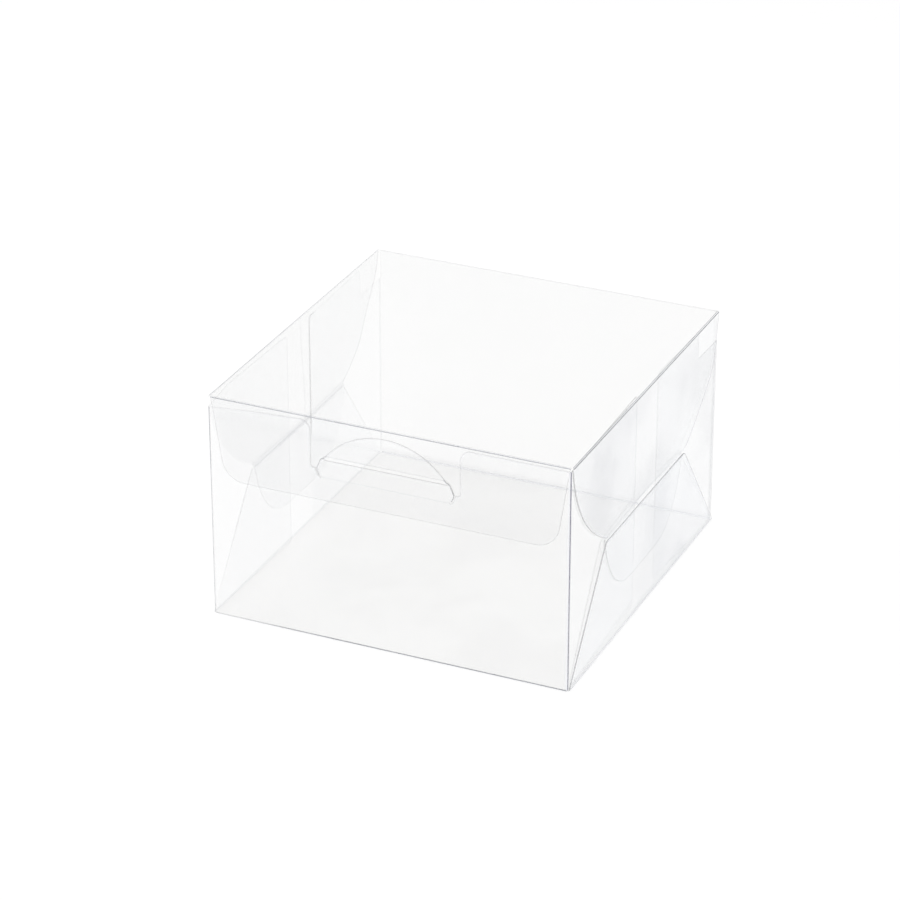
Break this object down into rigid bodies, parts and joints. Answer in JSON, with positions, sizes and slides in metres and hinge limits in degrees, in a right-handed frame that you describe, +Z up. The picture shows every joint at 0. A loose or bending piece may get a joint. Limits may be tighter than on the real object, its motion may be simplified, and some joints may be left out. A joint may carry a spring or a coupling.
{
  "type": "clear gift box",
  "caption": "Clear film gift box with a hinged lid, a tuck flap and half-moon lock at the front, and side flaps that tuck together outside folded-in wings.",
  "frame": {"origin": "middle of the underside, on the surface that the box stands on", "axes": "+X to the right as seen from the front, +Y from the front wall to the back wall, +Z up"},
  "size_m": [0.1, 0.102, 0.0625],
  "materials": {
    "clear_film": "clear and glossy"
  },
  "bodies": {
    "base": {"base_panel": "clear_film"},
    "front": {"front_wall": "clear_film"},
    "lock": {"lock_tongue": "clear_film"},
    "wing_front_left": {"front_wing_left": "clear_film"},
    "wing_front_right": {"front_wing_right": "clear_film"},
    "back": {"back_wall": "clear_film"},
    "wing_back_left": {"back_wing_left": "clear_film"},
    "wing_back_right": {"back_wing_right": "clear_film"},
    "lid": {"lid_panel": "clear_film"},
    "tuck": {"lid_tuck_flap": "clear_film"},
    "lid_flap_left": {"lid_side_flap_left": "clear_film"},
    "lid_flap_right": {"lid_side_flap_right": "clear_film"},
    "tongue_left": {"side_tongue_left": "clear_film"},
    "tongue_right": {"side_tongue_right": "clear_film"},
    "base_flap_left": {"base_side_flap_left": "clear_film"},
    "base_flap_right": {"base_side_flap_right": "clear_film"}
  },
  "joints": [
    {"name": "back_wall_fold", "type": "hinge", "parent": "base", "child": "back", "pos_m": [0, 0.05077, 0.00023], "axis": [-1, 0, 0], "range_deg": [0, 90]},
    {"name": "front_wall_fold", "type": "hinge", "parent": "base", "child": "front", "pos_m": [0, -0.05077, 0.00023], "axis": [1, 0, 0], "range_deg": [0, 90]},
    {"name": "lid_hinge", "type": "hinge", "parent": "back", "child": "lid", "pos_m": [0, 0.05077, 0.06227], "axis": [-1, 0, 0], "range_deg": [0, 90]},
    {"name": "tuck_flap_fold", "type": "hinge", "parent": "lid", "child": "tuck", "pos_m": [0, -0.04965, 0.06205], "axis": [1, 0, 0], "range_deg": [0, 54]},
    {"name": "lock_tongue_bend", "type": "hinge", "parent": "front", "child": "lock", "pos_m": [0, -0.051, 0.0462], "axis": [1, 0, 0], "range_deg": [0, 45]},
    {"name": "base_flap_left_fold", "type": "hinge", "parent": "base", "child": "base_flap_left", "pos_m": [-0.04977, 0, 0.00023], "axis": [0, -1, 0], "range_deg": [0, 90]},
    {"name": "base_flap_right_fold", "type": "hinge", "parent": "base", "child": "base_flap_right", "pos_m": [0.04977, 0, 0.00023], "axis": [0, 1, 0], "range_deg": [0, 90]},
    {"name": "lid_flap_left_fold", "type": "hinge", "parent": "lid", "child": "lid_flap_left", "pos_m": [-0.04977, 0, 0.06227], "axis": [0, 1, 0], "range_deg": [0, 45]},
    {"name": "lid_flap_right_fold", "type": "hinge", "parent": "lid", "child": "lid_flap_right", "pos_m": [0.04977, 0, 0.06227], "axis": [0, -1, 0], "range_deg": [0, 45]},
    {"name": "tongue_left_fold", "type": "hinge", "parent": "lid_flap_left", "child": "tongue_left", "pos_m": [-0.0494, 0, 0.03185], "axis": [0, -1, 0], "range_deg": [0, 57.6]},
    {"name": "tongue_right_fold", "type": "hinge", "parent": "lid_flap_right", "child": "tongue_right", "pos_m": [0.0494, 0, 0.03185], "axis": [0, 1, 0], "range_deg": [0, 57.6]},
    {"name": "front_wing_left_fold", "type": "hinge", "parent": "front", "child": "wing_front_left", "pos_m": [-0.04835, -0.05055, 0.031], "axis": [0, 0, -1], "range_deg": [0, 30]},
    {"name": "front_wing_right_fold", "type": "hinge", "parent": "front", "child": "wing_front_right", "pos_m": [0.04835, -0.05055, 0.031], "axis": [0, 0, 1], "range_deg": [0, 30]},
    {"name": "back_wing_left_fold", "type": "hinge", "parent": "back", "child": "wing_back_left", "pos_m": [-0.04835, 0.05055, 0.031], "axis": [0, 0, 1], "range_deg": [0, 85]},
    {"name": "back_wing_right_fold", "type": "hinge", "parent": "back", "child": "wing_back_right", "pos_m": [0.04835, 0.05055, 0.031], "axis": [0, 0, -1], "range_deg": [0, 85]}
  ],
  "couplings": [
    {"joint": "front_wall_fold", "follows": "back_wall_fold", "ratio": 1},
    {"joint": "tuck_flap_fold", "follows": "lid_hinge", "ratio": 0.6},
    {"joint": "lid_flap_left_fold", "follows": "base_flap_left_fold", "ratio": 0.5},
    {"joint": "lid_flap_right_fold", "follows": "base_flap_right_fold", "ratio": 0.5},
    {"joint": "tongue_left_fold", "follows": "base_flap_left_fold", "ratio": 0.64},
    {"joint": "tongue_right_fold", "follows": "base_flap_right_fold", "ratio": 0.64}
  ]
}
